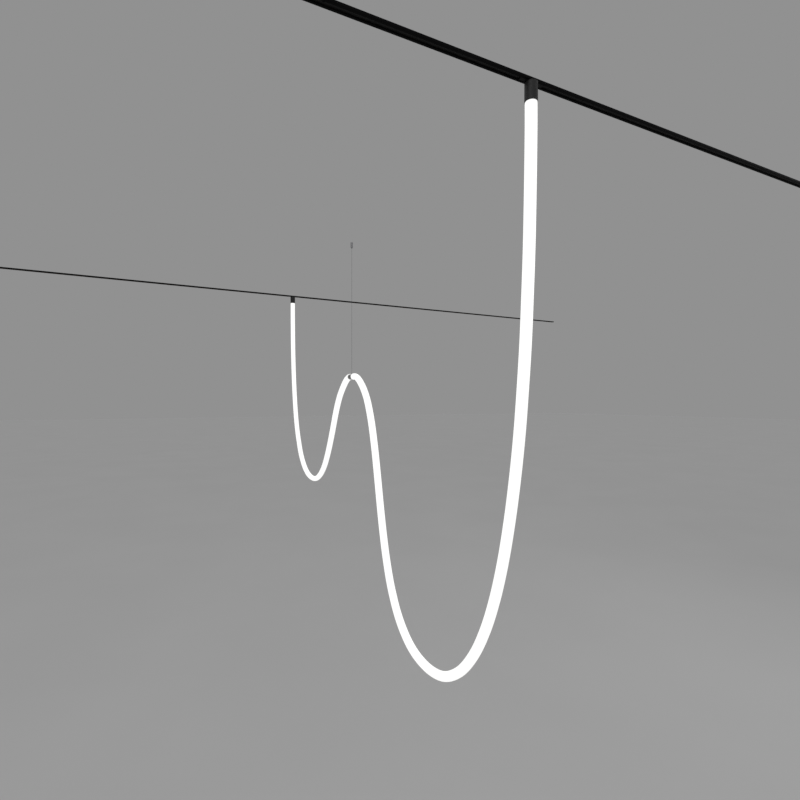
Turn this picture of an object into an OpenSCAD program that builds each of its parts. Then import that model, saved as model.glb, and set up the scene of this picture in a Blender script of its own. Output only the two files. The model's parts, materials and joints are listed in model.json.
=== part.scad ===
// Flexible light tube hung in two loops between a pair of slim ceiling tracks.
// X runs along the tracks, Y from the near track to the far one, Z up.
// The origin is where the middle wire fitting meets the ceiling.

/* [Tracks] */
// Distance between the centre lines of the two tracks
track_spacing = 2222; // [2200:1:2260]
// Width of a track
track_w = 19; // [19:0.5:24]
// Height of a track under the ceiling
track_h = 5.5; // [5.5:0.1:6.5]
// Length of the near track
near_track_l = 2000; // [1400:50:2400]
// Distance from the near plug to the left end of its track
near_track_left = 550; // [500:10:650]
// Length of the far track's left section
far_left_l = 2000; // [1950:50:2400]
// Length of the far track's right section
far_right_l = 1700; // [1000:50:2000]
// Distance from the far plug to the left end of its track
far_track_left = 1500; // [1200:10:1500]

/* [Light tube] */
// Outer diameter of the silicone tube
tube_d = 26; // [24:0.5:26]
// Thickness of the silicone wall
tube_wall = 2.4; // [2:0.1:2.6]
// Width of the flexible circuit inside the tube
tape_w = 10; // [8:0.5:11]

/* [End caps of the tube] */
// Outer diameter of the turning cap
cap_d = 28; // [27.5:0.1:29]
// Height of the turning cap
cap_h = 41.2; // [40:0.1:44]

/* [Middle hanger] */
// Depth of the middle sleeve's centre below the ceiling
crest_drop = 572; // [568:1:576]
// Length of the middle sleeve
sleeve_l = 44; // [40:1:50]
// Outer diameter of the middle sleeve
sleeve_d = 22; // [22:0.1:24]
// Diameter of the steel wire
wire_d = 1; // [0.8:0.1:1.2]
// Diameter of the ceiling wire fitting
gripper_d = 9.5; // [9:0.1:12]
// Height of the ceiling wire fitting, without its plunger
gripper_h = 21.5; // [21:0.5:23]

/* [Hidden] */
$fn = 48;
near_y = -track_spacing / 2;
far_y = track_spacing / 2;

// Gaps: a plain clearance between moving bodies, a running fit, and a hair's breadth inside one body
gap = 0.3;
fit = 0.05;
hair = 0.1;

// Track section
wall = 1.2;
roof = 0.9;
lip = 0.9;
slot_half = track_w / 2 - 5;
cavity_half = track_w / 2 - wall;
liner_t = 0.8;
strip_w = 1.4;
strip_low = 0.1;
skirt_t = 0.8;
strip_t = 0.3;
fixing_r = 1.75;
fixing_inset = 100;
liner_hole_r = 2.2;
lip_top = lip - track_h;
liner_low = -roof - liner_t;
end_cap_t = 2;
tongue_l = 12;
joiner_l = 60;

// Adapter that slides in a track
shoe_l = 60;
shoe_t = 0.9;
bore_half = cavity_half - hair - skirt_t;
shoe_half = bore_half - 0.4;
shoe_top = liner_low - 0.4;
pad_from = 14;
neck_r = 2.8;
neck_bore = 1.8;
key_r = bore_half - 0.5;
key_w = 5;
key_t = 1;
hub_r = slot_half - gap;
key_low = lip_top + gap;

// Turning cap and what it covers, all by height under the ceiling
cap_top = -track_h - gap;
cap_low = cap_top - cap_h;
cap_wall = 1.2;
cap_plate = 1.5;
holder_r = cap_d / 2 - cap_wall - 0.35;
holder_wall = 1.4;
holder_top = cap_top - cap_plate - 0.7;
holder_low = cap_low + gap;
plug_t = 3.6;
spigot_l = 14;
tube_end = cap_low - gap;
tube_r = tube_d / 2;
tube_bore = tube_r - tube_wall;
spigot_r = tube_bore * cos(15) - 0.4;
lead_r = 0.5;
lead_x = 0.9;
board_w = 16;
board_l = 20;
board_t = 1;

// Middle hanger
web_z = -6;
web_t = 1.2;
plunger_r = 3;
plunger_top = -11;
plunger_low = -3 - gripper_h;
plunger_pocket_r = 2;
plunger_pocket_l = 4;
stud_r = 2.1;
stud_depth = 5;
ball_r = 0.6;
ball_z = -12;
spring_r = 2.45;
spring_wire = 0.4;
spring_turns = 3;
core_r = sleeve_d / 2 - 1.55;
crest_z = -crest_drop;
sleeve_end = sleeve_l / 2;
sleeve_spigot_l = 8;
straight_end = sleeve_end + sleeve_spigot_l + 2;
stop_r = 1.6;
stop_z = crest_z + core_r - stop_r - 0.8;
screw_y = 14;
screw_grip = 3;

// Route of the tube's centre line, (y, z) from each track plug to the middle sleeve,
// which each arm enters along Y
near_route = [
    [-1111, tube_end], [-1111, -95], [-1110, -160], [-1108, -250], [-1105, -350],
    [-1100, -450], [-1094, -550], [-1085, -650], [-1074, -750], [-1059, -850],
    [-1040, -950], [-1016, -1050], [-986, -1145], [-948, -1235], [-898, -1320],
    [-832, -1395], [-748, -1450], [-650, -1471], [-552, -1458], [-468, -1407],
    [-405, -1328], [-362, -1238], [-330, -1143], [-304, -1047], [-280, -950],
    [-254, -853], [-222, -758], [-182, -678], [-141, -629], [-100, -597],
    [-71, -581], [-49, -574], [-straight_end, crest_z], [-sleeve_end, crest_z]
];
far_route = [
    [1111, tube_end], [1111, -100], [1109, -177], [1105, -277], [1098, -376],
    [1087, -475], [1071, -575], [1050, -672], [1022, -768], [988, -850],
    [947, -920], [894, -990], [822, -1047], [738, -1083], [645, -1096],
    [555, -1087], [472, -1052], [398, -995], [335, -918], [280, -834],
    [225, -740], [191, -690], [160, -653], [126, -623], [89, -596],
    [59, -580], [straight_end, crest_z], [sleeve_end, crest_z]
];
near_rings = 44;
far_rings = 34;
tube_sides = 12;
tape_t = 1.2;
line_w = 3.2;
line_t = 0.9;

track_ends = ["near", "far"];

// ---------- Shared shapes ----------

// Extrudes a (y, z) outline along X
module along_x(from, length) {
    translate([from, 0, 0]) rotate([90, 0, 90]) linear_extrude(length) children();
}

function around(middle, half) = [middle - half, middle + half];

module slab(x, y, z) {
    translate([x[0], y[0], z[0]]) cube([x[1] - x[0], y[1] - y[0], z[1] - z[0]]);
}

module post(r, z, at = [0, 0]) {
    translate([at[0], at[1], z[0]]) cylinder(r = r, h = z[1] - z[0]);
}

module pipe(outer, inner, z) {
    difference() {
        post(outer, z);
        post(inner, [z[0] - 1, z[1] + 1]);
    }
}

// Point on a smooth curve through the route, at u points along it
function on_route(route, u) =
    let (
        last = len(route) - 1,
        i = min(floor(u), last - 1),
        t = u - i,
        a = route[max(i - 1, 0)],
        b = route[i],
        c = route[i + 1],
        d = route[min(i + 2, last)]
    )
    (2 * b + (c - a) * t + (2 * a - 5 * b + 4 * c - d) * t ^ 2
        + (3 * b - a - 3 * c + d) * t ^ 3) / 2;

// The curve's centre points, from start to stop points along the route
function centres(route, rings, start, stop) =
    [for (i = [0 : rings - 1]) on_route(route, start + (stop - start) * i / (rings - 1))];

// Unit vector in the tube's plane, square to the curve, at centre number i
function square_to(line, i) =
    let (
        last = len(line) - 1,
        step = line[min(i + 1, last)] - line[max(i - 1, 0)]
    )
    [-step[1], step[0]] / norm(step);

// One ring of a sweep: section points are (across the plane, in the plane)
function ring(line, i, section) =
    let (side = square_to(line, i))
    [for (s = section) [s[0], line[i][0] + side[0] * s[1], line[i][1] + side[1] * s[1]]];

function circle_section(r, sides) =
    [for (k = [0 : sides - 1]) r * [cos((k + 0.5) * 360 / sides), sin((k + 0.5) * 360 / sides)]];

// Wall faces between neighbouring rings of n points, the first ring's first point being number base
function wall_faces(rings, n, base) =
    [for (i = [0 : rings - 2], k = [0 : n - 1])
        let (a = base + i * n, b = a + n, next = (k + 1) % n)
        [a + k, b + k, b + next, a + next]];

function turned(faces) = [for (f = faces) [for (k = [len(f) - 1 : -1 : 0]) f[k]]];

module solid_sweep(line, section) {
    n = len(section);
    rings = len(line);
    polyhedron(
        points = [for (i = [0 : rings - 1]) each ring(line, i, section)],
        faces = concat(
            wall_faces(rings, n, 0),
            [[for (k = [0 : n - 1]) k]],
            [[for (k = [n - 1 : -1 : 0]) (rings - 1) * n + k]]
        )
    );
}

module hollow_sweep(line, outer, inner) {
    n = len(outer);
    rings = len(line);
    base = rings * n;
    end = (rings - 1) * n;
    polyhedron(
        points = concat(
            [for (i = [0 : rings - 1]) each ring(line, i, outer)],
            [for (i = [0 : rings - 1]) each ring(line, i, inner)]
        ),
        faces = concat(
            wall_faces(rings, n, 0),
            turned(wall_faces(rings, n, base)),
            [for (k = [0 : n - 1]) let (next = (k + 1) % n) [k, next, base + next, base + k]],
            [for (k = [0 : n - 1])
                let (next = (k + 1) % n) [end + next, end + k, base + end + k, base + end + next]]
        )
    );
}

// ---------- Tracks ----------

// Distances from a rail's middle to its four fixing holes
function fixings(length) =
    let (outer = length / 2 - fixing_inset)
    [-outer, -outer / 3, outer / 3, outer];

// A rail's flat top plate, with its fixing holes
module rail_roof(y, left, length) {
    half = track_w / 2;
    color([0.09, 0.09, 0.095])
        translate([0, y, 0]) difference() {
            slab([left, left + length], [-half, half], [-roof, 0]);
            for (x = fixings(length)) post(fixing_r, [-roof - 1, 1], [left + length / 2 + x, 0]);
        }
}

module rail_walls(y, left, length) {
    color([0.09, 0.09, 0.095])
        translate([0, y, 0]) for (side = [-1, 1])
            slab([left, left + length], around(side * (cavity_half + wall / 2), wall / 2), [lip_top, -roof]);
}

// The two flanges that the slot runs between, each with a bevelled outer corner
module rail_lips(y, left, length) {
    half = track_w / 2;
    bevel = 0.4;
    color([0.09, 0.09, 0.095])
        translate([0, y, 0]) for (side = [-1, 1]) along_x(left, length) scale([side, 1]) polygon([
            [slot_half, lip_top], [half, lip_top], [half, bevel - track_h],
            [half - bevel, -track_h], [slot_half, -track_h]
        ]);
}

// Strip and two skirts that line the rail, with a groove for each power strip; holes are at these X
module liner(y, left, length, holes) {
    along = [left + 2, left + length - 2];
    low = lip_top + hair;
    groove = low + strip_low;
    color([0.05, 0.05, 0.05])
        translate([0, y, 0]) {
            difference() {
                slab(along, around(0, bore_half - hair), [liner_low, -roof]);
                for (x = holes) post(liner_hole_r, [liner_low - 1, 0], [x, 0]);
            }
            for (side = [-1, 1]) difference() {
                slab(along, around(side * (bore_half + skirt_t / 2), skirt_t / 2), [low, -roof]);
                slab([left, left + length], around(side * bore_half, strip_t), [groove, groove + strip_w]);
            }
        }
}

module power_strip(y, left, length, side) {
    low = lip_top + hair + strip_low;
    middle = side * (bore_half + strip_t / 2);
    color([0.75, 0.45, 0.28])
        translate([0, y, 0])
            slab([left + 6, left + length - 6], around(middle, strip_t / 2 - 0.02),
                [low + 0.02, low + strip_w - 0.02]);
}

// Plate over a rail's end, with a tongue inside the rail; facing is -1 at a left end
module end_cap(y, end_x, facing) {
    color([0.07, 0.07, 0.07])
        translate([end_x, y, 0]) scale([facing, 1, 1]) union() {
            along_x(0, end_cap_t) difference() {
                translate([-track_w / 2, -track_h]) square([track_w, track_h]);
                for (side = [-1, 1]) translate([side * track_w / 2, -track_h]) rotate(45)
                    square(0.6, center = true);
            }
            slab([-tongue_l, 0], [-shoe_half, shoe_half], [lip_top + hair, liner_low - hair]);
            slab([-tongue_l, 0], around(0, slot_half - hair), [-track_h, lip_top + hair * 2]);
        }
}

// Flat steel joiner with four set screws, inside the far track where its two sections meet
module joiner() {
    middle = far_left_l - far_track_left;
    color("silver")
        translate([middle, far_y, 0]) difference() {
            union() {
                slab([-joiner_l / 2, joiner_l / 2], [-shoe_half, shoe_half],
                    [lip_top + hair, lip_top + 1.1]);
                for (x = [-22, -8, 8, 22]) post(2, [lip_top + 1, lip_top + 1.9], [x, 0]);
            }
            for (x = [-22, -8, 8, 22])
                translate([x, 0, lip_top - 1]) cylinder(r = 1, h = 2.2, $fn = 6);
        }
}

// ---------- Tube ----------

module tube(route, rings) {
    last = len(route) - 1;
    line = [each centres(route, rings - 1, 0, last - 1), route[last]];
    color([1, 1, 0.97])
        hollow_sweep(line, circle_section(tube_r, tube_sides), circle_section(tube_bore, tube_sides));
}

// The circuit stops short of both ends, where the spigots are
function inner_line(route, rings) =
    centres(route, rings, 0.5, len(route) - 2.7);

function box_section(w, low, high) =
    [[w / 2, low], [w / 2, high], [-w / 2, high], [-w / 2, low]];

module tape(route, rings) {
    color([0.9, 0.88, 0.8])
        solid_sweep(inner_line(route, rings), box_section(tape_w, -tape_t / 2, tape_t / 2));
}

module phosphor(route, rings) {
    line = inner_line(route, rings);
    color([0.95, 0.85, 0.4]) {
        solid_sweep(line, box_section(line_w, tape_t / 2 + 0.02, tape_t / 2 + line_t));
        solid_sweep(line, box_section(line_w, -tape_t / 2 - line_t, -tape_t / 2 - 0.02));
    }
}

// ---------- Adapter and turning cap, about the plug's own axis ----------

module shoe() {
    guide = hub_r;
    color([0.12, 0.12, 0.12]) difference() {
        union() {
            slab([-shoe_l / 2, shoe_l / 2], [-shoe_half, shoe_half], [shoe_top - shoe_t, shoe_top]);
            for (side = [-1, 1]) scale([side, 1, 1]) {
                slab([pad_from, shoe_l / 2], [-shoe_half, shoe_half],
                    [lip_top + gap, shoe_top - shoe_t + hair]);
                slab([pad_from, shoe_l / 2], [-guide, guide], [gap - track_h, lip_top + gap + hair]);
            }
        }
        post(neck_r, [shoe_top - 3, shoe_top + 1]);
    }
}

// Sprung strips on the shoe's sides, which face the power strips
module contacts() {
    low = lip_top + hair + strip_low + 0.2;
    color([0.85, 0.65, 0.3])
        for (side = [-1, 1]) {
            slab([pad_from + 1, shoe_l / 2 - 1], around(side * (shoe_half + 0.1), 0.1),
                [low, low + strip_w - 0.4]);
            for (x = [pad_from + 4, shoe_l / 2 - 4])
                slab(around(x, 1.5), around(side * (shoe_half + 0.2), 0.1),
                    [low, low + strip_w - 0.4]);
        }
}

module neck() {
    color([0.6, 0.6, 0.62]) pipe(neck_r, neck_bore, [holder_top - 2, shoe_top]);
}

module leads() {
    board_top = holder_low + plug_t + board_l;
    for (side = [-1, 1])
        color(side < 0 ? "firebrick" : [0.15, 0.15, 0.15])
            post(lead_r, [board_top + 0.05, shoe_top], [side * lead_x, 0]);
}

module holder() {
    color([0.65, 0.65, 0.67]) difference() {
        post(holder_r, [holder_low, holder_top]);
        post(holder_r - holder_wall, [holder_low - 1, holder_top - 2]);
        post(neck_r, [holder_top - 3, holder_top + 1]);
        for (turn = [0, 180])
            rotate(turn) translate([holder_r - 3, 0, holder_low + plug_t / 2]) rotate([0, 90, 0])
                cylinder(r = 1.3, h = 5);
    }
}

module board() {
    low = holder_low + plug_t + 0.05;
    top = low + board_l - 0.1;
    color([0.1, 0.35, 0.2])
        slab([-board_w / 2, board_w / 2], [-board_t / 2, board_t / 2], [low, top]);
    color([0.1, 0.1, 0.1]) {
        slab([-6, -1], [board_t / 2, 2.2], [low + 3, low + 9]);
        slab([2, 6], [board_t / 2, 1.8], [low + 11, low + 15]);
    }
    color([0.8, 0.7, 0.3])
        translate([3.5, board_t / 2, low + 5]) rotate([-90, 0, 0]) cylinder(r = 2.4, h = 3.5);
}

// Closes the holder and plugs the end of the tube
module plug() {
    flange_r = holder_r - holder_wall - fit;
    color([0.2, 0.2, 0.2]) difference() {
        union() {
            post(flange_r, [holder_low, holder_low + plug_t]);
            post(spigot_r, [tube_end - spigot_l, holder_low + hair]);
        }
        post(3, [tube_end - spigot_l - 1, holder_low + plug_t + 1]);
        for (turn = [0, 180])
            rotate(turn) translate([flange_r - 2, 0, holder_low + plug_t / 2]) rotate([0, 90, 0])
                cylinder(r = 1.3, h = 5);
    }
}

module grubs() {
    inner = holder_r - holder_wall - 1.9;
    color([0.3, 0.3, 0.3])
        for (turn = [0, 180])
            rotate(turn) translate([inner, 0, holder_low + plug_t / 2]) rotate([0, 90, 0])
                difference() {
                    cylinder(r = 1.25, h = 3);
                    translate([0, 0, 2]) cylinder(r = 0.7, h = 2, $fn = 6);
                }
}

module cap() {
    color([0.17, 0.17, 0.17]) difference() {
        union() {
            post(cap_d / 2, [cap_low + 0.4, cap_top - 0.5]);
            translate([0, 0, cap_top - 0.5]) cylinder(r1 = cap_d / 2, r2 = cap_d / 2 - 0.5, h = 0.5);
            translate([0, 0, cap_low]) cylinder(r1 = cap_d / 2 - 0.25, r2 = cap_d / 2, h = 0.4);
        }
        post(cap_d / 2 - cap_wall, [cap_low - 1, cap_top - cap_plate]);
        post(neck_r + fit, [cap_top - 5, cap_top + 1]);
    }
}

// Wings that lie over the track's lips when locked, on a hub that fills the slot
module key() {
    color([0.35, 0.35, 0.36]) difference() {
        union() {
            post(hub_r, [cap_top, key_low + key_t]);
            intersection() {
                post(key_r, [key_low, key_low + key_t]);
                slab([-key_w / 2, key_w / 2], [-key_r, key_r], [key_low, key_low + key_t]);
            }
        }
        post(neck_r + fit, [cap_top - 1, key_low + key_t + 1]);
    }
}

// ---------- Middle hanger ----------

// Turns a vertical piece at the sleeve's middle to lie along Y
module along_y() {
    translate([0, 0, crest_z]) rotate([90, 0, 0]) children();
}

module sleeve_half(side) {
    r = sleeve_d / 2;
    inner = core_r + hair;
    color([0.18, 0.18, 0.18]) difference() {
        union() {
            intersection() {
                along_y() difference() {
                    union() {
                        cylinder(r = r, h = sleeve_l - 1, center = true);
                        cylinder(r = r - 0.4, h = sleeve_l - 2 * fit, center = true);
                    }
                    cylinder(r = inner, h = sleeve_l + 2, center = true);
                }
                translate([0, 0, crest_z + side * (r / 2 + fit)])
                    cube([2 * r + 2, sleeve_l + 2, r], center = true);
            }
            if (side > 0) post(2.6, [crest_z + r - 1, crest_z + r + 2.5]);
        }
        if (side > 0) post(wire_d / 2 + 0.2, [crest_z, 0]);
        for (y = [-screw_y, screw_y])
            translate([0, y, crest_z]) scale([1, 1, side]) {
                post(1.5, [core_r - 1, r + 1]);
                post(2.3, [r - 1.1, r + 1]);
            }
    }
}

// Turned core with a spigot for each arm's end
module sleeve_core() {
    spigot_end = sleeve_end + sleeve_spigot_l;
    color([0.6, 0.6, 0.62]) difference() {
        along_y() difference() {
            union() {
                cylinder(r = core_r, h = sleeve_l + 1, center = true);
                for (side = [0, 180]) rotate([side, 0, 0])
                    translate([0, 0, sleeve_end]) cylinder(r = spigot_r, h = sleeve_spigot_l);
            }
            translate([0, -2, 0]) cylinder(r = 4, h = 2 * spigot_end + 2, center = true);
        }
        post(stop_r + hair, [stop_z - stop_r - hair, crest_z + core_r + 1]);
        for (y = [-screw_y, screw_y], side = [-1, 1])
            translate([0, y, crest_z]) scale([1, 1, side])
                post(1.25, [core_r - screw_grip - 0.2, core_r + 1]);
    }
}

module sleeve_screws() {
    r = sleeve_d / 2;
    color([0.25, 0.25, 0.25])
        for (y = [-screw_y, screw_y], side = [-1, 1])
            translate([0, y, crest_z]) scale([1, 1, side]) difference() {
                union() {
                    post(1.2, [core_r - screw_grip, r - 1]);
                    post(2.1, [r - 1.05, r - 0.25]);
                }
                translate([0, 0, r - 0.7]) cylinder(r = 0.8, h = 1, $fn = 6);
            }
}

module wire() {
    color([0.75, 0.75, 0.77]) post(wire_d / 2, [stop_z + stop_r - 0.05, web_z - web_t]);
}

module wire_stop() {
    color("silver") {
        translate([0, 0, stop_z]) sphere(r = stop_r);
    }
}

module gripper_body() {
    r = gripper_d / 2;
    color([0.55, 0.55, 0.57]) difference() {
        union() {
            translate([0, 0, -gripper_h]) cylinder(r1 = r - 0.6, r2 = r, h = 0.6);
            post(r, [0.6 - gripper_h, 0]);
        }
        post(stud_r, [-stud_depth, 1]);
        post(plunger_r + fit, [-gripper_h - 1, web_z - web_t]);
        for (z = [-3, -4.4])
            translate([0, 0, z]) rotate_extrude() translate([r, 0]) circle(r = 0.3);
    }
}

module gripper_balls() {
    color("silver")
        for (turn = [0, 120, 240])
            rotate(turn) translate([wire_d / 2 + ball_r + 0.02, 0, ball_z]) sphere(r = ball_r);
}

module gripper_spring() {
    steps = 12;
    sides = 6;
    top = web_z - web_t - spring_wire / 2 - 0.05;
    low = plunger_top + spring_wire / 2 + 0.05;
    rings = spring_turns * steps + 1;
    mean_r = spring_r - spring_wire / 2;
    coil = [for (i = [0 : rings - 1])
        [mean_r * cos(i * 360 / steps), mean_r * sin(i * 360 / steps), low + (top - low) * i / (rings - 1)]];
    color([0.7, 0.7, 0.72])
        polyhedron(
            points = [for (i = [0 : rings - 1], k = [0 : sides - 1])
                let (turn = i * 360 / steps, s = spring_wire / 2 * [cos(k * 60), sin(k * 60)])
                coil[i] + [s[0] * cos(turn), s[0] * sin(turn), s[1]]],
            faces = concat(
                wall_faces(rings, sides, 0),
                [[for (k = [0 : sides - 1]) k]],
                [[for (k = [sides - 1 : -1 : 0]) (rings - 1) * sides + k]]
            )
        );
}

module gripper_plunger() {
    color([0.62, 0.62, 0.64]) difference() {
        union() {
            post(plunger_r, [plunger_low + 0.5, plunger_top]);
            translate([0, 0, plunger_low]) cylinder(r1 = plunger_r - 0.5, r2 = plunger_r, h = 0.5);
        }
        post(wire_d / 2 + gap, [plunger_low - 1, plunger_top + 1]);
        post(plunger_pocket_r, [plunger_top - plunger_pocket_l, plunger_top + 1]);
    }
}

// ---------- Nodes ----------

near_left = -near_track_left;
far_left = -far_track_left;
far_join = far_left + far_left_l;
far_track_l = far_left_l + far_right_l;
far_holes = concat(
    [for (x = fixings(far_left_l)) far_left + far_left_l / 2 + x],
    [for (x = fixings(far_right_l)) far_join + far_right_l / 2 + x]
);
near_holes = [for (x = fixings(near_track_l)) near_left + near_track_l / 2 + x];

rail_roof(near_y, near_left, near_track_l);  // near_rail_roof
rail_walls(near_y, near_left, near_track_l);  // near_rail_walls
rail_lips(near_y, near_left, near_track_l);  // near_rail_lips
liner(near_y, near_left, near_track_l, near_holes);  // near_liner
power_strip(near_y, near_left, near_track_l, -1);  // near_live_strip
power_strip(near_y, near_left, near_track_l, 1);  // near_return_strip
end_cap(near_y, near_left, -1);  // near_left_end_cap
end_cap(near_y, near_left + near_track_l, 1);  // near_right_end_cap
rail_roof(far_y, far_left, far_left_l);  // far_left_rail_roof
rail_walls(far_y, far_left, far_left_l);  // far_left_rail_walls
rail_lips(far_y, far_left, far_left_l);  // far_left_rail_lips
rail_roof(far_y, far_join, far_right_l);  // far_right_rail_roof
rail_walls(far_y, far_join, far_right_l);  // far_right_rail_walls
rail_lips(far_y, far_join, far_right_l);  // far_right_rail_lips
liner(far_y, far_left, far_track_l, far_holes);  // far_liner
power_strip(far_y, far_left, far_track_l, -1);  // far_live_strip
power_strip(far_y, far_left, far_track_l, 1);  // far_return_strip
end_cap(far_y, far_left, -1);  // far_left_end_cap
end_cap(far_y, far_join + far_right_l, 1);  // far_right_end_cap
joiner();  // far_joiner
tube(near_route, near_rings);  // tube_near
tape(near_route, near_rings);  // tape_near
phosphor(near_route, near_rings);  // phosphor_near
tube(far_route, far_rings);  // tube_far
tape(far_route, far_rings);  // tape_far
phosphor(far_route, far_rings);  // phosphor_far
sleeve_half(1);  // sleeve_top
sleeve_half(-1);  // sleeve_bottom
sleeve_core();
sleeve_screws();
wire();
wire_stop();
gripper_body();
gripper_balls();
gripper_spring();
gripper_plunger();
for (side = track_ends) translate([0, side == "near" ? near_y : far_y, 0]) {
    shoe();
    contacts();
    neck();
    leads();
    holder();
    board();
    plug();
    grubs();
    cap();
    key();
}
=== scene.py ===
import json
import math

import bmesh
import bpy
import numpy as np
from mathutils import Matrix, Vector


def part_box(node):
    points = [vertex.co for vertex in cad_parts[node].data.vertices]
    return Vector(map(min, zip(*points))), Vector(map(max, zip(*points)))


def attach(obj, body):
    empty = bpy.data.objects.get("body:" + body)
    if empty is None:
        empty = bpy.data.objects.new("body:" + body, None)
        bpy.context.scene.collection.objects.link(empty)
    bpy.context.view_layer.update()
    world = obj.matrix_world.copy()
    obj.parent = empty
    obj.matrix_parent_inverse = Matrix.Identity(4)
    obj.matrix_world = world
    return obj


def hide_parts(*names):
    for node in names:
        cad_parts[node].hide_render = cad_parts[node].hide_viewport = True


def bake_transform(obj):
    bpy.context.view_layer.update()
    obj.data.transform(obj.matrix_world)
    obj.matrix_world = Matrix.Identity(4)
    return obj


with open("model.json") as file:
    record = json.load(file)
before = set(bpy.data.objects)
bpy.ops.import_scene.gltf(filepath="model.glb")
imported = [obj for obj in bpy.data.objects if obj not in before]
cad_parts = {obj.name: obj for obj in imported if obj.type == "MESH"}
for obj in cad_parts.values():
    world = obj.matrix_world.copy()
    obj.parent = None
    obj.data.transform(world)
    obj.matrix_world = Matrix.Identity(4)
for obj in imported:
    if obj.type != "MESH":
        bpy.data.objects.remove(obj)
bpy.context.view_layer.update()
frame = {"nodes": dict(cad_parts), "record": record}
ROOT = "ceiling_set"
SIDES = ("near", "far")

# ---------------------------------------------------------------- camera

EYE = Vector((-0.675, -1.875, -0.678))
HEADING = math.radians(-25.72)
LENS_MM = 20.93

camera = bpy.data.objects.new("camera", bpy.data.cameras.new("camera"))
bpy.context.collection.objects.link(camera)
camera.location = EYE
camera.rotation_euler = (math.radians(90), 0, HEADING)
camera.data.lens = LENS_MM
camera.data.sensor_width = 36
camera.data.shift_y = 0.0021
camera.data.clip_start = 0.01
bpy.context.scene.camera = camera

# ---------------------------------------------------------------- routes and sizes

TUBE_D = 0.026
TUBE_WALL = 0.0024
TUBE_END_Z = -0.0473
CREST_Z = -0.572
SLEEVE_END = 0.022
STRAIGHT_END = 0.032

# Centre line of each arm, (y, z) from its track plug to the middle sleeve, as in the CAD source;
# the last stretch is straight along Y, over the sleeve's spigot
ROUTES = {
    "near": [
        (-1.111, TUBE_END_Z), (-1.111, -0.095), (-1.110, -0.160), (-1.108, -0.250), (-1.105, -0.350),
        (-1.100, -0.450), (-1.094, -0.550), (-1.085, -0.650), (-1.074, -0.750), (-1.059, -0.850),
        (-1.040, -0.950), (-1.016, -1.050), (-0.986, -1.145), (-0.948, -1.235), (-0.898, -1.320),
        (-0.832, -1.395), (-0.748, -1.450), (-0.650, -1.471), (-0.552, -1.458), (-0.468, -1.407),
        (-0.405, -1.328), (-0.362, -1.238), (-0.330, -1.143), (-0.304, -1.047), (-0.280, -0.950),
        (-0.254, -0.853), (-0.222, -0.758), (-0.182, -0.678), (-0.141, -0.629), (-0.100, -0.597),
        (-0.071, -0.581), (-0.049, -0.574), (-STRAIGHT_END, CREST_Z), (-SLEEVE_END, CREST_Z),
    ],
    "far": [
        (1.111, TUBE_END_Z), (1.111, -0.100), (1.109, -0.177), (1.105, -0.277), (1.098, -0.376),
        (1.087, -0.475), (1.071, -0.575), (1.050, -0.672), (1.022, -0.768), (0.988, -0.850),
        (0.947, -0.920), (0.894, -0.990), (0.822, -1.047), (0.738, -1.083), (0.645, -1.096),
        (0.555, -1.087), (0.472, -1.052), (0.398, -0.995), (0.335, -0.918), (0.280, -0.834),
        (0.225, -0.740), (0.191, -0.690), (0.160, -0.653), (0.126, -0.623), (0.089, -0.596),
        (0.059, -0.580), (STRAIGHT_END, CREST_Z), (SLEEVE_END, CREST_Z),
    ],
}


def on_route(route, u):
    """The point u route points along the smooth curve through a route."""
    last = len(route) - 1
    i = min(int(u), last - 1)
    t = u - i
    a, b, c, d = (np.array(route[min(max(k, 0), last)]) for k in (i - 1, i, i + 1, i + 2))
    bend = (2 * a - 5 * b + 4 * c - d) * t**2 + (3 * b - a - 3 * c + d) * t**3
    return (2 * b + (c - a) * t + bend) / 2


def centre_line(route, rings, start=0.0, stop=None):
    """Evenly spread points in the row frame along a route's curve, to its end if stop is None."""
    straight = len(route) - 2
    fine = [on_route(route, u) for u in np.linspace(start, straight if stop is None else stop, 3000)]
    if stop is None:
        fine.append(np.array(route[-1]))
    fine = np.array(fine)
    along = np.concatenate([[0], np.cumsum(np.linalg.norm(np.diff(fine, axis=0), axis=1))])
    even = np.linspace(0, along[-1], rings)
    y, z = (np.interp(even, along, fine[:, k]) for k in (0, 1))
    return np.column_stack([np.zeros(rings), y, z])


# ---------------------------------------------------------------- mesh helpers


def mesh_object(name, verts, faces, smooth=True):
    data = bpy.data.meshes.new(name)
    data.from_pydata([tuple(v) for v in verts], [], faces)
    data.update()
    made = bpy.data.objects.new(name, data)
    bpy.context.collection.objects.link(made)
    if smooth:
        data.shade_smooth()
    tidy = bmesh.new()
    tidy.from_mesh(data)
    bmesh.ops.recalc_face_normals(tidy, faces=tidy.faces)
    tidy.to_mesh(data)
    tidy.free()
    return made


def walls(rings, sides, base=0):
    """Quads between neighbouring rings."""
    return [
        (a + k, a + (k + 1) % sides, a + sides + (k + 1) % sides, a + sides + k)
        for a in range(base, base + (rings - 1) * sides, sides)
        for k in range(sides)
    ]


def plane_sweep(line, section):
    """Points of a section, (across the tube's plane, in the plane), at each point of a line."""
    heading = np.gradient(line[:, 1:], axis=0)
    heading /= np.linalg.norm(heading, axis=1)[:, None]
    points = []
    for (_, y, z), (ty, tz) in zip(line, heading):
        points += [(across, y - tz * inward, z + ty * inward) for across, inward in section]
    return points


def swept(name, line, section):
    """A closed bar of that section along a line."""
    sides, rings = len(section), len(line)
    ends = [tuple(range(sides)), tuple(range((rings - 1) * sides, rings * sides))]
    return mesh_object(name, plane_sweep(line, section), walls(rings, sides) + ends)


def round_section(radius, sides):
    turn = [2 * math.pi * k / sides for k in range(sides)]
    return [(radius * math.cos(t), radius * math.sin(t)) for t in turn]


# ---------------------------------------------------------------- material helpers


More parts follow.
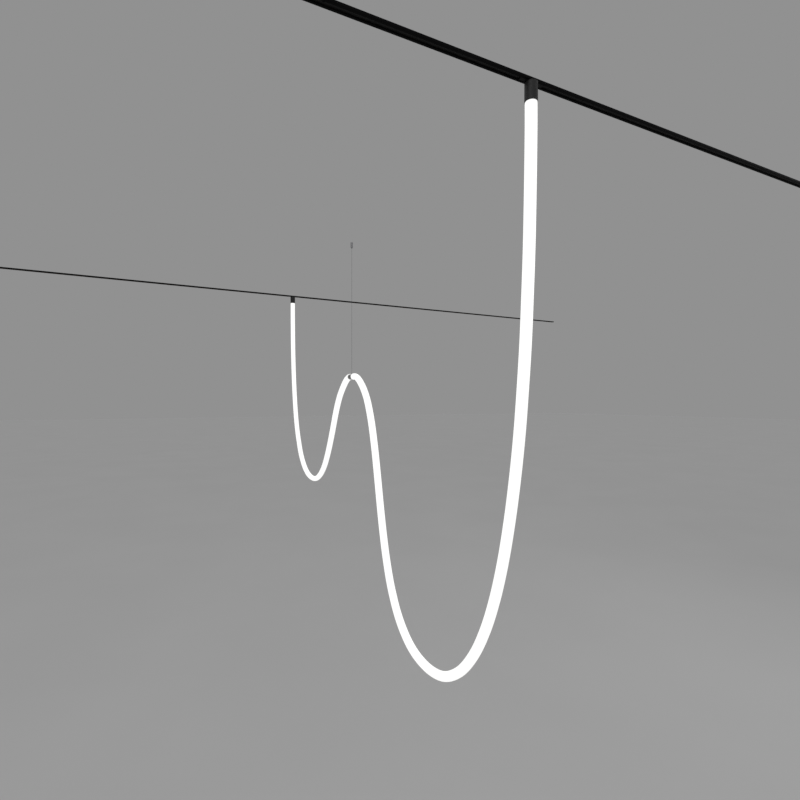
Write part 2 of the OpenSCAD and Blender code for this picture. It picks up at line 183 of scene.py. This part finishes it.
class Look:
    """A material being built: a Principled shader and short ways to drive it."""

    def __init__(self, name, colour, roughness, metallic=0.0):
        self.material = bpy.data.materials.new(name)
        self.material.use_nodes = True
        self.nodes = self.material.node_tree.nodes
        self.links = self.material.node_tree.links
        self.shader = self.nodes["Principled BSDF"]
        self.colour = colour
        self.shader.inputs["Base Color"].default_value = (*colour, 1)
        self.shader.inputs["Roughness"].default_value = roughness
        self.shader.inputs["Metallic"].default_value = metallic
        self.place = self.nodes.new("ShaderNodeTexCoord").outputs["Object"]

    def set(self, **values):
        for key, value in values.items():
            self.shader.inputs[key.replace("_", " ")].default_value = value
        return self

    def noise(self, scale, detail=3.0, stretch=(1, 1, 1)):
        """A noise from 0 to 1, scale cells to the metre, drawn out by stretch."""
        spread = self.nodes.new("ShaderNodeMapping")
        spread.inputs["Scale"].default_value = stretch
        self.links.new(self.place, spread.inputs["Vector"])
        made = self.nodes.new("ShaderNodeTexNoise")
        made.inputs["Scale"].default_value = scale
        made.inputs["Detail"].default_value = detail
        self.links.new(spread.outputs["Vector"], made.inputs["Vector"])
        return made.outputs["Fac"]

    def ramp(self, factor, low, high):
        """Spreads the middle of a noise over low to high."""
        made = self.nodes.new("ShaderNodeMapRange")
        made.inputs["From Min"].default_value = 0.35
        made.inputs["From Max"].default_value = 0.65
        made.inputs["To Min"].default_value = low
        made.inputs["To Max"].default_value = high
        self.links.new(factor, made.inputs["Value"])
        return made.outputs["Result"]

    def tint(self, factor, other, amount=1.0):
        """Mixes the base colour towards another by a factor."""
        made = self.nodes.new("ShaderNodeMix")
        made.data_type = "RGBA"
        source = self.shader.inputs["Base Color"]
        if source.is_linked:
            self.links.new(source.links[0].from_socket, made.inputs["A"])
        else:
            made.inputs["A"].default_value = (*self.colour, 1)
        made.inputs["B"].default_value = (*other, 1)
        self.links.new(self.ramp(factor, 0, amount), made.inputs["Factor"])
        self.links.new(made.outputs["Result"], source)
        return self

    def rough(self, factor, low, high):
        self.links.new(self.ramp(factor, low, high), self.shader.inputs["Roughness"])
        return self

    def bump(self, height, distance, strength=1.0):
        made = self.nodes.new("ShaderNodeBump")
        made.inputs["Distance"].default_value = distance
        made.inputs["Strength"].default_value = strength
        self.links.new(height, made.inputs["Height"])
        if self.shader.inputs["Normal"].is_linked:
            before = self.shader.inputs["Normal"].links[0].from_socket
            self.links.new(before, made.inputs["Normal"])
        self.links.new(made.outputs["Normal"], self.shader.inputs["Normal"])
        return self


def anodised_rail():
    """Black extruded aluminium with faint lines along its length."""
    look = Look("anodised_rail", (0.0038, 0.0038, 0.004), 0.58).set(Specular_IOR_Level=0.03)
    lines = look.noise(2600, 2, (0.004, 1, 1))
    look.tint(look.noise(9, 4), (0.0055, 0.0055, 0.0058), 0.7)
    look.rough(lines, 0.42, 0.58)
    return look.bump(lines, 0.00004, 0.5).bump(look.noise(9000, 2), 0.00001, 0.4).material


def powder_coat(name, colour, worn):
    """Matt black powder coat with a fine pebble, and rubbed patches."""
    look = Look(name, colour, 0.55).set(Specular_IOR_Level=0.42)
    pebble = look.noise(3800, 3)
    look.tint(look.noise(160, 5), worn, 0.8)
    look.tint(pebble, tuple(c * 0.75 for c in colour), 0.5)
    look.rough(look.noise(420, 4), 0.46, 0.66)
    return look.bump(pebble, 0.00006, 0.5).bump(look.noise(900, 2), 0.00003, 0.3).material


def moulded(name, colour, roughness, gloss=0.15):
    """Plain moulded plastic with a spark-eroded grain."""
    look = Look(name, colour, roughness).set(Specular_IOR_Level=gloss)
    fine = look.noise(5200, 2)
    look.tint(look.noise(110, 4), tuple(min(1, c * 1.4 + 0.001) for c in colour), 0.7)
    look.rough(look.noise(700, 3), roughness - 0.08, roughness + 0.1)
    return look.bump(fine, 0.00003, 0.5).material


def metal(name, colour, roughness, stretch):
    """Turned, drawn or brushed metal, its marks drawn out along one way."""
    look = Look(name, colour, roughness, 1.0)
    marks = look.noise(2400, 3, stretch)
    look.tint(look.noise(240, 4), tuple(c * 0.78 for c in colour), 0.6)
    look.tint(marks, tuple(min(1, c * 1.15) for c in colour), 0.5)
    look.rough(marks, roughness - 0.07, roughness + 0.1)
    return look.bump(marks, 0.00002, 0.5).material


def glowing_silicone():
    """Opal silicone lit from inside: very even, with a faint milky cloud in it."""
    look = Look("opal_silicone", (0.62, 0.62, 0.61), 0.38)
    look.set(Emission_Color=(1.0, 0.998, 0.985, 1), Emission_Strength=0.84)
    look.set(Coat_Weight=0.15, Coat_Roughness=0.3)
    look.tint(look.noise(45, 3), (0.56, 0.56, 0.55), 0.6)
    look.rough(look.noise(500, 3), 0.32, 0.46)
    return look.bump(look.noise(2600, 2), 0.00002, 0.35).material


def phosphor_resin():
    look = Look("phosphor_resin", (0.94, 0.74, 0.24), 0.25)
    look.set(Emission_Color=(1.0, 0.97, 0.88, 1), Emission_Strength=3.0, Coat_Weight=0.6)
    chips = look.noise(700, 1)
    look.tint(chips, (0.9, 0.62, 0.14), 0.8)
    return look.bump(chips, 0.0001, 0.5).material


def circuit(name, board, trace):
    """Printed circuit: solder mask over a faint pattern of copper tracks."""
    look = Look(name, board, 0.3).set(Coat_Weight=0.4, Coat_Roughness=0.15)
    brick = look.nodes.new("ShaderNodeTexBrick")
    brick.inputs["Scale"].default_value = 420
    brick.inputs["Mortar Size"].default_value = 0.03
    look.links.new(look.place, brick.inputs["Vector"])
    look.tint(brick.outputs["Fac"], trace, 0.55)
    look.rough(look.noise(900, 3), 0.24, 0.4)
    return look.bump(brick.outputs["Fac"], 0.00003, 0.4).material


LOOKS = {
    "rail_black": anodised_rail(),
    "liner_black": moulded("liner_black", (0.018, 0.018, 0.018), 0.6),
    "copper": metal("copper_strip", (0.72, 0.36, 0.2), 0.34, (0.01, 1, 1)),
    "end_cap_black": moulded("end_cap_black", (0.008, 0.008, 0.008), 0.55),
    "joiner_steel": metal("joiner_steel", (0.58, 0.58, 0.6), 0.36, (0.02, 1, 1)),
    "opal_silicone": glowing_silicone(),
    "tape_white": circuit("tape_white", (0.86, 0.85, 0.8), (0.72, 0.6, 0.42)),
    "phosphor": phosphor_resin(),
    "sleeve_grey": metal("sleeve_grey", (0.36, 0.36, 0.36), 0.45, (1, 0.03, 1)),
    "core_aluminium": metal("core_aluminium", (0.66, 0.67, 0.69), 0.3, (1, 1, 0.02)),
    "screw_black": metal("screw_black", (0.1, 0.1, 0.105), 0.42, (1, 1, 0.05)),
    "wire_steel": metal("wire_steel", (0.24, 0.24, 0.25), 0.5, (1, 1, 0.05)),
    "gripper_nickel": metal("gripper_nickel", (0.32, 0.32, 0.33), 0.42, (1, 1, 0.03)),
    "ball_steel": metal("ball_steel", (0.75, 0.75, 0.77), 0.16, (1, 1, 1)),
    "spring_steel": metal("spring_steel", (0.5, 0.5, 0.53), 0.3, (1, 1, 0.3)),
    "shoe_black": moulded("shoe_black", (0.006, 0.006, 0.006), 0.6),
    "contact_gold": metal("contact_gold", (0.86, 0.6, 0.24), 0.26, (0.05, 1, 1)),
    "neck_steel": metal("neck_steel", (0.55, 0.55, 0.57), 0.3, (1, 1, 0.02)),
    "lead": moulded("lead_insulation", (0.5, 0.05, 0.04), 0.42, 0.5),
    "board_green": circuit("board_green", (0.03, 0.2, 0.09), (0.1, 0.34, 0.16)),
    "plug_dark": moulded("plug_dark", (0.06, 0.06, 0.06), 0.5, 0.4),
    "cap_black": powder_coat("cap_black", (0.016, 0.016, 0.0165), (0.024, 0.024, 0.0235)),
    "key_steel": metal("key_steel", (0.22, 0.22, 0.23), 0.4, (1, 1, 0.02)),
}


def dress(piece, slot):
    piece.data.materials.clear()
    piece.data.materials.append(LOOKS[slot])
    return piece


# ---------------------------------------------------------------- the light tube

TUBE_RINGS = {"near": 420, "far": 320}
TUBE_SIDES = 48
INNER_RINGS = 160
INNER_START = 0.5
INNER_STOP = 2.7
TAPE_W = 0.010
TAPE_T = 0.0012
LINE_W = 0.0032
LINE_T = 0.0009


def tube_arm(side):
    """The silicone arm: a hollow tube with flat ring-shaped end faces."""
    line = centre_line(ROUTES[side], TUBE_RINGS[side])
    outer, inner = TUBE_D / 2, TUBE_D / 2 - TUBE_WALL
    rings, sides = len(line), TUBE_SIDES
    skin = plane_sweep(line, round_section(outer, sides))
    bore = plane_sweep(line, round_section(inner, sides))
    base = rings * sides
    faces = walls(rings, sides) + walls(rings, sides, base)
    for start in (0, (rings - 1) * sides):
        ring = [(start + k, start + (k + 1) % sides) for k in range(sides)]
        faces += [(a, b, base + b, base + a) for a, b in ring]
    return mesh_object(f"tube_arm_{side}", skin + bore, faces), line


def bar_section(width, low, high):
    half = width / 2
    return [(half, low), (half, high), (-half, high), (-half, low)]


def inner_parts(side):
    """The circuit and its two phosphor lines, well inside the tube."""
    route = ROUTES[side]
    line = centre_line(route, INNER_RINGS, INNER_START, len(route) - INNER_STOP)
    tape = swept(f"circuit_tape_{side}", line, bar_section(TAPE_W, -TAPE_T / 2, TAPE_T / 2))
    front = swept(
        f"phosphor_line_{side}_a", line, bar_section(LINE_W, TAPE_T / 2, TAPE_T / 2 + LINE_T)
    )
    back = swept(
        f"phosphor_line_{side}_b", line, bar_section(LINE_W, -TAPE_T / 2 - LINE_T, -TAPE_T / 2)
    )
    return tape, front, back


def bend_with(piece):
    """Bakes the piece's placement into its mesh."""
    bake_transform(piece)


for side in SIDES:
    arm, line = tube_arm(side)
    tape, front, back = inner_parts(side)
    dress(arm, "opal_silicone")
    dress(tape, "tape_white")
    dress(front, "phosphor")
    dress(back, "phosphor")
    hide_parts(f"tube_{side}")
    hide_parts(f"tape_{side}")
    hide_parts(f"phosphor_{side}")
    for piece in (arm, tape, front, back):
        bend_with(piece)

# ---------------------------------------------------------------- the steel wire

WIRE_D = 0.001
STRANDS = 6
STRAND_SIDES = 6
TWIST_PITCH = 0.009
RINGS_PER_TWIST = 10


def strand(bottom, top, start_turn, radius, offset):
    """One strand's points and faces, wound round the wire's axis."""
    rings = int((top - bottom) / TWIST_PITCH * RINGS_PER_TWIST)
    sides = STRAND_SIDES
    points = []
    for i in range(rings):
        z = bottom + (top - bottom) * i / (rings - 1)
        turn = start_turn + 2 * math.pi * (z - bottom) / TWIST_PITCH
        for k in range(sides):
            around = turn + 2 * math.pi * k / sides
            points.append((
                offset * math.cos(turn) + radius * math.cos(around),
                offset * math.sin(turn) + radius * math.sin(around),
                z,
            ))
    ends = [tuple(range(sides)), tuple(range((rings - 1) * sides, rings * sides))]
    return points, walls(rings, sides) + ends


def twisted_wire():
    low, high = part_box("wire")
    points, faces = [], []
    for k in range(STRANDS + 1):
        core = k == STRANDS
        more, quads = strand(
            low[2], high[2], 2 * math.pi * k / STRANDS, WIRE_D / 6, 0 if core else WIRE_D / 3
        )
        faces += [tuple(len(points) + v for v in quad) for quad in quads]
        points += more
    return mesh_object("suspension_wire", points, faces), low[2], high[2]


rope, rope_low, rope_high = twisted_wire()
dress(rope, "wire_steel")
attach(rope, ROOT)
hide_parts("wire")

# ---------------------------------------------------------------- the release spring

SPRING_WIRE = 0.0004
SPRING_TURNS = 3
RINGS_PER_TURN = 24
SPRING_SIDES = 10


def coil_spring():
    """The fitting's spring: a coil of round wire spanning the CAD spring's height."""
    low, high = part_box("gripper_spring")
    wire_r = SPRING_WIRE / 2
    coil_r = high[0] - wire_r
    rings, sides = RINGS_PER_TURN * SPRING_TURNS + 1, SPRING_SIDES
    points = []
    for i in range(rings):
        share = i / (rings - 1)
        turn = 2 * math.pi * SPRING_TURNS * share
        level = low[2] + wire_r + (high[2] - low[2] - SPRING_WIRE) * share
        for out, up in round_section(wire_r, sides):
            reach = coil_r + out
            points.append((reach * math.cos(turn), reach * math.sin(turn), level + up))
    ends = [tuple(range(sides)), tuple(range((rings - 1) * sides, rings * sides))]
    return mesh_object("coil_spring", points, walls(rings, sides) + ends), low[2], high[2]


spring, spring_low, spring_high = coil_spring()
dress(spring, "spring_steel")
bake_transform(spring)
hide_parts("gripper_spring")

# ---------------------------------------------------------------- CAD pieces

SLOT_OF = {row["node"]: row["material_slot"] for row in frame["record"]["subparts"]}
# Width of the softened edge by how a piece's name ends; the first ending that fits is used
EDGE = {"end_cap": 0.0004, "cap": 0.0003, "sleeve_top": 0.0003,
        "sleeve_bottom": 0.0003, "gripper_body": 0.0002, "gripper_plunger": 0.0002}


def soften(piece, width):
    """Rounds a CAD piece's hard edges a little, so that they catch the light."""
    bevel = piece.modifiers.new("soft_edge", "BEVEL")
    bevel.width = width
    bevel.segments = 2
    bevel.limit_method = "ANGLE"
    bevel.angle_limit = math.radians(40)


for node, piece in frame["nodes"].items():
    piece.data.materials.clear()
    piece.data.materials.append(LOOKS[SLOT_OF[node]])
    for ending, width in EDGE.items():
        if node.endswith(ending):
            soften(piece, width)
            break

# ---------------------------------------------------------------- floor and light

FLOOR_Z = -2.6
FLOOR_HALF = 60
BOX_SIZE = 2.4
LIT_POINT = (0.2, 0, -0.6)
BACKDROP = 0.283


def floor():
    look = Look("floor_grey", (0.6, 0.6, 0.6), 0.9).set(Specular_IOR_Level=0.1)
    look.tint(look.noise(0.9, 3), (0.58, 0.58, 0.58), 0.6)
    look.bump(look.noise(60, 3), 0.0004, 0.3)
    far = FLOOR_HALF
    corners = [(x, y, FLOOR_Z) for x, y in ((-far, -far), (far, -far), (far, far), (-far, far))]
    made = mesh_object("studio_floor", corners, [(0, 1, 2, 3)], smooth=False)
    made.data.materials.append(look.material)


def soft_box(name, place, power):
    lamp = bpy.data.lights.new(name, "AREA")
    lamp.shape = "SQUARE"
    lamp.size = BOX_SIZE
    lamp.energy = power
    made = bpy.data.objects.new(name, lamp)
    bpy.context.collection.objects.link(made)
    made.location = place
    towards = Vector(LIT_POINT) - Vector(place)
    made.rotation_euler = towards.to_track_quat("-Z", "Y").to_euler()
    made.visible_camera = False


def overhead(strength):
    """Very soft light from straight above, which gives the floor the same tone as the backdrop."""
    lamp = bpy.data.lights.new("overhead", "SUN")
    lamp.energy = strength
    lamp.angle = math.radians(120)
    bpy.context.collection.objects.link(bpy.data.objects.new("overhead", lamp))


floor()
overhead(0.62)
soft_box("key", (-3.2, -3.6, 1.6), 30)
soft_box("fill", (4.2, -1.2, 0.6), 16)

world = bpy.data.worlds.new("studio")
world.use_nodes = True
world.node_tree.nodes["Background"].inputs["Color"].default_value = (BACKDROP, BACKDROP, BACKDROP, 1)
world.node_tree.nodes["Background"].inputs["Strength"].default_value = 1.0
bpy.context.scene.world = world
bpy.context.scene.view_settings.view_transform = "Standard"
